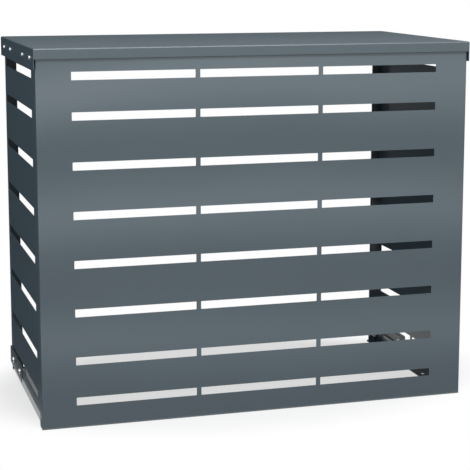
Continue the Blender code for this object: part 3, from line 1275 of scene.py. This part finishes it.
def fastener_sets() -> list[FastenerSet]:
    """The screw, nut and bush sets of the whole screen.

    Returns:
        The sets, each with its own seed.
    """
    inward, outward = (0.0, 1.0, 0.0), (0.0, -1.0, 0.0)
    pair, lips, pairs = range(1, 3), range(1, 4), range(1, 5)
    small, nut, large_nut = ButtonScrew(), RoundNut(), RoundNut(bore=0.0043)
    rail_nuts = nodes_of("rail_nut", ["front"], inward) | nodes_of("rail_nut", ["rear"], outward)
    return [
        FastenerSet("lid_screws", small, nodes_of("lid_screw", pairs), 11),
        FastenerSet("lid_bushes", Bush(), nodes_of("lid_bush", pairs), 12),
        FastenerSet("bracket_screws", LARGE_SCREW, nodes_of("bracket_screw", pair), 13),
        FastenerSet("bracket_nuts", large_nut, nodes_of("bracket_nut", pair), 14),
        FastenerSet("lip_screws", small, nodes_of("lip_screw", lips, inward), 15),
        FastenerSet("lip_nuts", nut, nodes_of("lip_nut", lips, inward), 16),
        FastenerSet("rail_screws_front", small, nodes_of("rail_screw", ["front"], inward), 17),
        FastenerSet("rail_screws_rear", small, nodes_of("rail_screw", ["rear"], outward), 18),
        FastenerSet("rail_nuts", nut, rail_nuts, 19),
    ]


# Studio


@dataclass
class Lamp:
    """A soft area lamp that looks at a point of the screen."""

    name: str
    place: Point
    target: Point
    size: Pair
    power: float

    def build(self) -> Object:
        """Hang the lamp.

        Returns:
            The lamp's object.
        """
        data = bpy.data.lights.new(self.name, "AREA")
        data.shape = "RECTANGLE"
        data.size, data.size_y = self.size
        data.energy = self.power
        lamp = object_of(self.name, data)
        lamp.location = self.place
        way = Vector(self.target) - Vector(self.place)
        lamp.rotation_euler = way.to_track_quat("-Z", "Y").to_euler()
        lamp.visible_camera = False
        return lamp


def seen_rays(shader: Shader) -> NodeSocket:
    """One for the rays that show the background: camera, glossy and transmission rays.

    Args:
        shader: The material or world whose tree asks.

    Returns:
        The value's socket.
    """
    path = shader.add("ShaderNodeLightPath").outputs
    total = path["Is Camera Ray"]
    for name in ("Is Glossy Ray", "Is Transmission Ray"):
        total = shader.math("MAXIMUM", total, path[name])
    return total


@dataclass
class Card:
    """A flat card, square to the axes, that is seen only in the sheen of the sheet."""

    name: str
    low: Point
    high: Point
    color: Point = (0.003, 0.018, 0.034)

    def build(self) -> Object:
        """Stand or lay the card.

        Returns:
            The card's object.
        """
        (x0, y0, z0), (x1, y1, z1) = self.low, self.high
        mesh = bpy.data.meshes.new(self.name)
        corners = [(x0, y0, z0), (x1, y0, z0), (x1, y1, z1), (x0, y1, z1)]
        mesh.from_pydata(corners, [], [(0, 1, 2, 3)])
        shader = Shader.named(self.name)
        shader.feed(shader.principled, {"Base Color": (*self.color, 1), "Roughness": 1.0})
        mesh.materials.append(shader.material)
        card = object_of(self.name, mesh)
        card.visible_camera = card.visible_diffuse = card.visible_shadow = False
        return card


@dataclass
class Studio:
    """A plain pale floor, a white surround, soft lamps, cards for the sheen and the camera."""

    floor_color: Point = (0.8, 0.8, 0.81)
    floor_roughness: float = 0.9
    floor_gloss: float = 0.1
    floor_size: float = 60.0
    floor_lift: float = 0.62
    clear_from: float = 0.5
    clear_to: float = 0.72
    clear_scale: Point = (1.0, 1.6, 1.0)
    ambient: float = 0.34
    camera_place: Point = (-0.9505, -3.3137, 1.02)
    camera_yaw: float = 16.309
    camera_pitch: float = 8.906
    camera_lens: float = 110.3
    camera_sensor: float = 36.0
    camera_shift: float = -0.1
    lamps: tuple[Lamp, ...] = (
        Lamp("key", (0.1, -2.2, 3.6), (0.0, 0.0, 0.4), (3.2, 1.0), 120.0),
        Lamp("strip", (0.0, -3.6, 2.2), (0.0, 0.0, 0.4), (4.0, 0.8), 24.0),
        Lamp("left_fill", (-3.5, -1.0, 1.2), (-0.5, 0.0, 0.4), (2.0, 1.2), 16.0),
    )
    cards: tuple[Card, ...] = (
        Card("rear_left", (-6.0, 1.7, 0.004), (-0.36, 1.7, 1.65)),
        Card("rear_right", (-0.12, 1.7, 0.004), (6.0, 1.7, 1.65)),
        Card("rear_low", (-0.36, 1.7, 0.004), (-0.12, 1.7, 0.42)),
        Card("rear_high", (-0.36, 1.7, 0.7), (-0.12, 1.7, 1.65)),
        Card("side_card", (-6.0, -0.2, 0.004), (-0.515, 1.7, 0.004)),
        Card("floor_card", (-0.4955, 0.4, 0.004), (6.0, 1.7, 0.004)),
        Card("front_card", (-3.2, -6.0, 0.004), (3.2, -0.2, 0.004), (0.3, 0.3, 0.3)),
    )

    def surround(self) -> None:
        """Light from all round, white to the eye and dimmer on the object."""
        world = bpy.data.worlds.new("surround")
        world.use_nodes = True
        bpy.context.scene.world = world
        shader = Shader(world)
        feeds = {"Value": seen_rays(shader), "To Min": self.ambient, "To Max": 1.0}
        strength = shader.add("ShaderNodeMapRange", feeds)
        feeds = {"Color": (1, 1, 1, 1), "Strength": strength.outputs["Result"]}
        shader.feed(shader.tree.nodes["Background"], feeds)

    def floor(self) -> Object:
        """The floor, which keeps the shadow near the object and clears to white farther out.

        Returns:
            The floor's object.
        """
        half = self.floor_size / 2
        mesh = bpy.data.meshes.new("floor")
        corners = [(-half, -half, 0), (half, -half, 0), (half, half, 0), (-half, half, 0)]
        mesh.from_pydata(corners, [], [(0, 1, 2, 3)])
        shader = Shader.named("pale_floor")
        paint = shader.principled
        feeds = {
            "Base Color": (*self.floor_color, 1),
            "Roughness": self.floor_roughness,
            "Specular IOR Level": self.floor_gloss,
        }
        shader.feed(paint, feeds)
        white = shader.add("ShaderNodeEmission", {"Strength": 1.0})
        feeds = {0: shader.stretched(self.clear_scale)}
        distance = shader.add("ShaderNodeVectorMath", feeds, operation="LENGTH")
        feeds = {
            "Value": distance.outputs["Value"],
            "From Min": self.clear_from,
            "From Max": self.clear_to,
            "To Min": self.floor_lift,
        }
        clear = shader.add("ShaderNodeMapRange", feeds, interpolation_type="SMOOTHSTEP")
        both = shader.math("MULTIPLY", clear.outputs["Result"], seen_rays(shader))
        feeds = {0: both, 1: paint.outputs[0], 2: white.outputs[0]}
        mix = shader.add("ShaderNodeMixShader", feeds)
        shader.feed(shader.tree.nodes["Material Output"], {"Surface": mix.outputs[0]})
        mesh.materials.append(shader.material)
        floor = object_of("floor", mesh)
        return floor

    def camera(self) -> Object:
        """Set the camera at the photograph's viewing angle.

        Returns:
            The camera's object.
        """
        data = bpy.data.cameras.new("camera")
        data.lens = self.camera_lens
        data.sensor_width = self.camera_sensor
        data.shift_y = self.camera_shift
        camera = object_of("camera", data)
        camera.location = self.camera_place
        pitch, yaw = math.radians(90 - self.camera_pitch), math.radians(-self.camera_yaw)
        camera.rotation_euler = (pitch, 0.0, yaw)
        bpy.context.scene.camera = camera
        return camera

    def build(self) -> None:
        """Set up the whole studio."""
        bpy.context.scene.view_settings.view_transform = "Standard"
        self.camera()
        self.surround()
        self.floor()
        for fitting in (*self.cards, *self.lamps):
            fitting.build()
        LOG.info("studio: %d cards, %d lamps", len(self.cards), len(self.lamps))


def main() -> None:
    """Build the screen and its studio in order."""
    logging.basicConfig(level=logging.INFO, format="%(name)s: %(message)s")
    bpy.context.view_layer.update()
    Studio().build()
    coats = {
        coat.name: coat.material()
        for coat in (
            # The front's coat is the sides' powder coat painted lighter: painted light for the
            # stronger light that falls on the front.
            PowderCoat("front_coat", color=(0.057, 0.084, 0.102), swell_depth=0.009),
            PowderCoat("side_coat", swell_depth=0.003),
            PowderCoat("lid_coat"),
            PowderCoat("frame_coat"),
            PowderCoat("rail_coat", roughness=0.2),
        )
    }
    plate = ZincPlate().material()
    punch = punching_tree()
    FrontPanel().build(punch, coats["front_coat"])
    for side in Side:
        SidePanel(side).build(punch, coats["side_coat"])
        RearBracket(side).build(punch, coats["frame_coat"])
    Lid().build(punch, coats["lid_coat"])
    coat_rails((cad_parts[f"foot_rail_{side.word}"] for side in Side), coats["rail_coat"])
    setting = fastening_tree()
    for group in fastener_sets():
        group.build(setting, plate)


if __name__ == "__main__":
    main()
